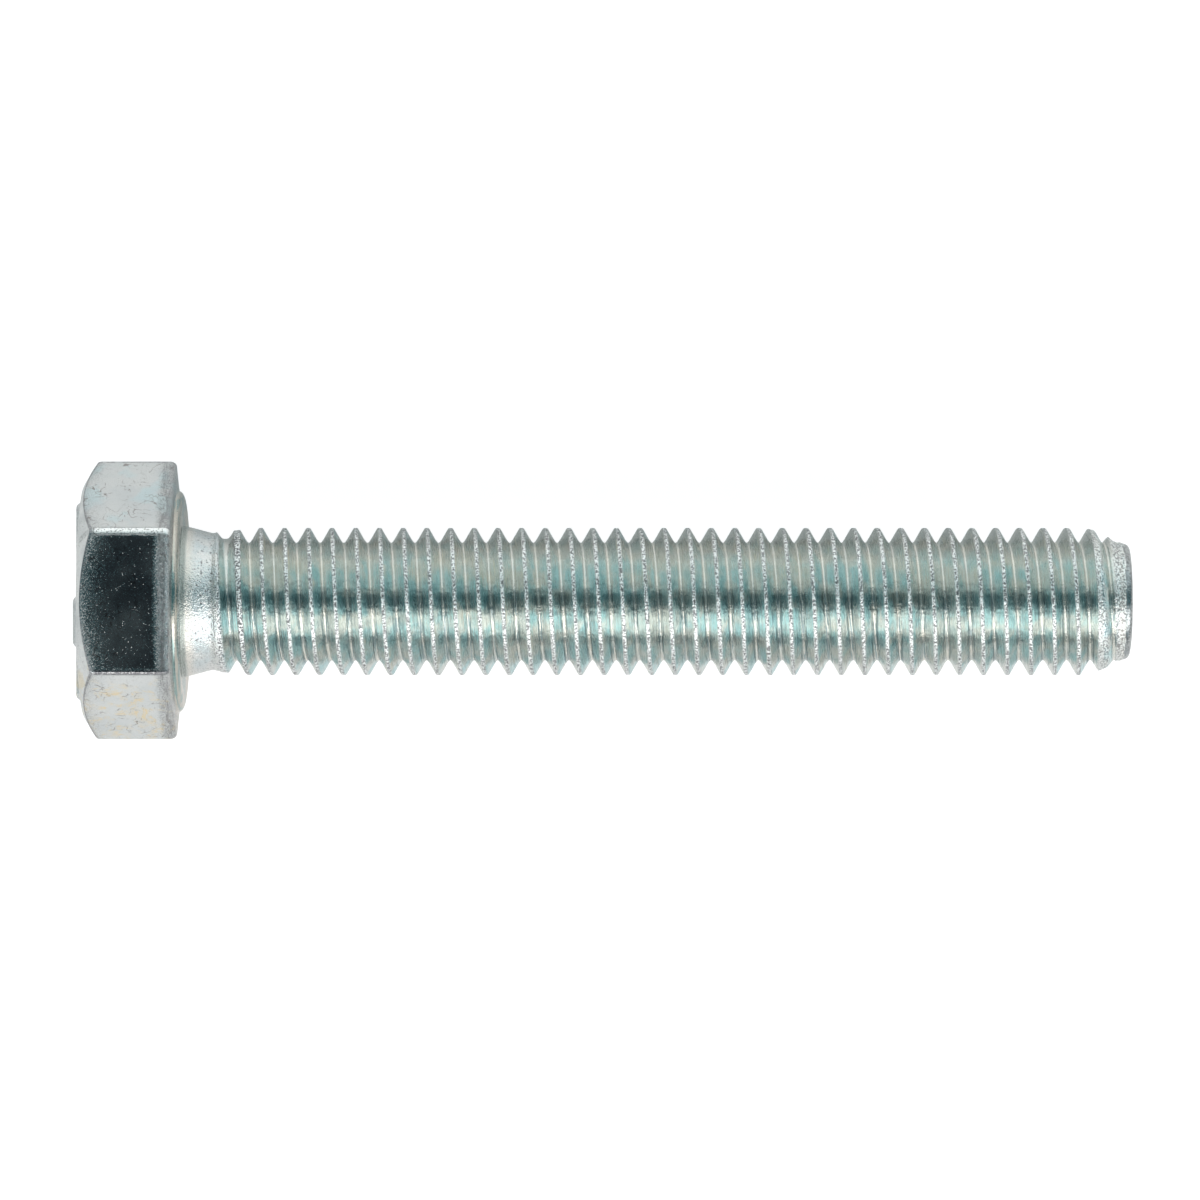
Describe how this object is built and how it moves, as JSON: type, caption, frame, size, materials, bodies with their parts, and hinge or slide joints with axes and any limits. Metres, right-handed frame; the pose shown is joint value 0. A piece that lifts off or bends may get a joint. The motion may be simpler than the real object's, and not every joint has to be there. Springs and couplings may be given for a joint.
{
  "type": "hex bolt",
  "caption": "Fully threaded hexagon-head machine bolt with a washer face, a short tapered neck and a chamfered end, zinc plated",
  "frame": {"origin": "the middle of the bearing face under the head, on the axis of the shank", "axes": "+X runs along the shank from the head to the point, +Z is the outward normal of one flat of the head, and the corners of the head point to +Y and -Y"},
  "size_m": [0.0553, 0.0146, 0.013],
  "materials": {
    "zinc_plate": "bright zinc plate with a thin clear passivation, faintly blue, green and straw in places; scuffed on the flats and edges, satin on the blasted neck, smooth on the rolled thread"
  },
  "bodies": {
    "root": {"hex_bolt": "zinc_plate"}
  },
  "joints": []
}
